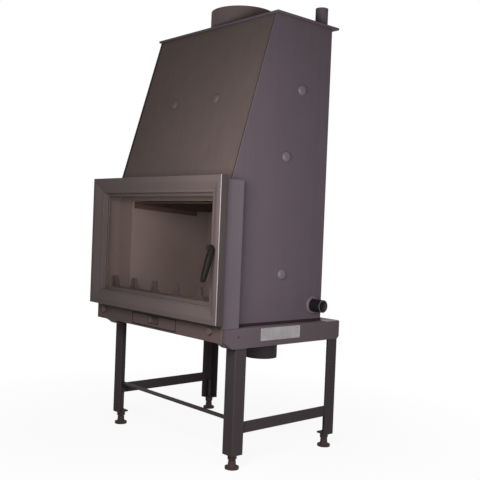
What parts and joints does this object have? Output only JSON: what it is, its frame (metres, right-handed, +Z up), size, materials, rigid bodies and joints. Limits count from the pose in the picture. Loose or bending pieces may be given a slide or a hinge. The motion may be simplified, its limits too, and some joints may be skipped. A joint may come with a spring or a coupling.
{
  "type": "fireplace insert",
  "caption": "Water-heating steel fireplace insert with a sloped upper front, glazed bevelled door, flue collar, pipe stubs, ash drawer and an angle-iron stand on levelling feet.",
  "frame": {"origin": "centre of the bounding box on the floor, under the feet", "axes": "+X to the right seen from the front, +Y towards the back, +Z up; the door faces -Y"},
  "size_m": [0.81, 0.7026, 1.701],
  "materials": {
    "body_steel": "matte heat-proof paint over rolled sheet",
    "firebox_steel": "dull brown-grey steel",
    "stand_steel": "matte dark paint",
    "zinc_steel": "dull zinc plate",
    "door_iron": "satin dark grey paint",
    "fire_iron": "rough casting",
    "ceramic_glass": "clear ceramic glass",
    "seal_fibre": "braided glass-fibre rope",
    "handle_steel": "blackened",
    "handle_black": "glossy black",
    "knob_steel": "turned"
  },
  "bodies": {
    "insert": {"side_panel_left": "body_steel", "side_panel_right": "body_steel", "slope_panel": "body_steel", "rear_panel": "body_steel", "top_plate": "body_steel", "flue_collar": "body_steel", "flow_pipe": "body_steel", "return_pipe": "body_steel", "mouth_side_left": "body_steel", "mouth_side_right": "body_steel", "mouth_top": "body_steel", "mouth_sill": "firebox_steel", "jacket_ring": "firebox_steel", "firebox_wall_left": "firebox_steel", "firebox_wall_right": "firebox_steel", "firebox_back": "firebox_steel", "firebox_slope": "firebox_steel", "jacket_cap": "firebox_steel", "baffle": "firebox_steel", "hearth_plate": "firebox_steel", "latch_keeper": "firebox_steel", "rail_left": "stand_steel", "rail_right": "stand_steel", "base_plate": "stand_steel", "apron": "stand_steel", "leg_front_left": "stand_steel", "leg_front_right": "stand_steel", "leg_rear_left": "stand_steel", "leg_rear_right": "stand_steel", "foot_plates": "stand_steel", "stretcher_left": "stand_steel", "stretcher_right": "stand_steel", "tie_bar": "stand_steel", "air_spigot": "stand_steel", "ash_box": "stand_steel", "hinge_brackets": "stand_steel", "lock_nuts": "stand_steel", "shutter_guides": "zinc_steel", "grate": "fire_iron", "log_guard": "fire_iron"},
    "door": {"door_frame": "door_iron", "door_glass": "ceramic_glass", "glass_tape": "seal_fibre", "glass_clips": "zinc_steel", "door_rope": "seal_fibre"},
    "handle": {"handle_lever": "handle_steel", "handle_grip": "handle_black", "latch_spindle": "handle_steel"},
    "ash_drawer": {"ash_drawer": "stand_steel"},
    "air_left": {"air_knob_left": "knob_steel", "air_shutter_left": "zinc_steel"},
    "air_right": {"air_knob_right": "knob_steel", "air_shutter_right": "zinc_steel"},
    "foot_front_left": {"foot_front_left": "stand_steel"},
    "foot_front_right": {"foot_front_right": "stand_steel"},
    "foot_rear_left": {"foot_rear_left": "stand_steel"},
    "foot_rear_right": {"foot_rear_right": "stand_steel"}
  },
  "joints": [
    {"name": "door_hinge", "type": "hinge", "parent": "insert", "child": "door", "pos_m": [-0.394, -0.25474, 0.763], "axis": [0, 0, -1], "range_deg": [0, 110]},
    {"name": "handle_turn", "type": "hinge", "parent": "door", "child": "handle", "pos_m": [0.364, -0.29474, 0.77], "axis": [0, -1, 0], "range_deg": [0, 90]},
    {"name": "ash_drawer_slide", "type": "slide", "parent": "insert", "child": "ash_drawer", "axis": [0, -1, 0], "range_m": [0, 0.3]},
    {"name": "air_left_slide", "type": "slide", "parent": "insert", "child": "air_left", "axis": [0, -1, 0], "range_m": [0, 0.032]},
    {"name": "air_right_slide", "type": "slide", "parent": "insert", "child": "air_right", "axis": [0, -1, 0], "range_m": [0, 0.032]},
    {"name": "foot_front_left_screw", "type": "slide", "parent": "insert", "child": "foot_front_left", "axis": [0, 0, 1], "range_m": [-0.02, 0]},
    {"name": "foot_front_right_screw", "type": "slide", "parent": "insert", "child": "foot_front_right", "axis": [0, 0, 1], "range_m": [-0.02, 0]},
    {"name": "foot_rear_left_screw", "type": "slide", "parent": "insert", "child": "foot_rear_left", "axis": [0, 0, 1], "range_m": [-0.02, 0]},
    {"name": "foot_rear_right_screw", "type": "slide", "parent": "insert", "child": "foot_rear_right", "axis": [0, 0, 1], "range_m": [-0.02, 0]}
  ]
}
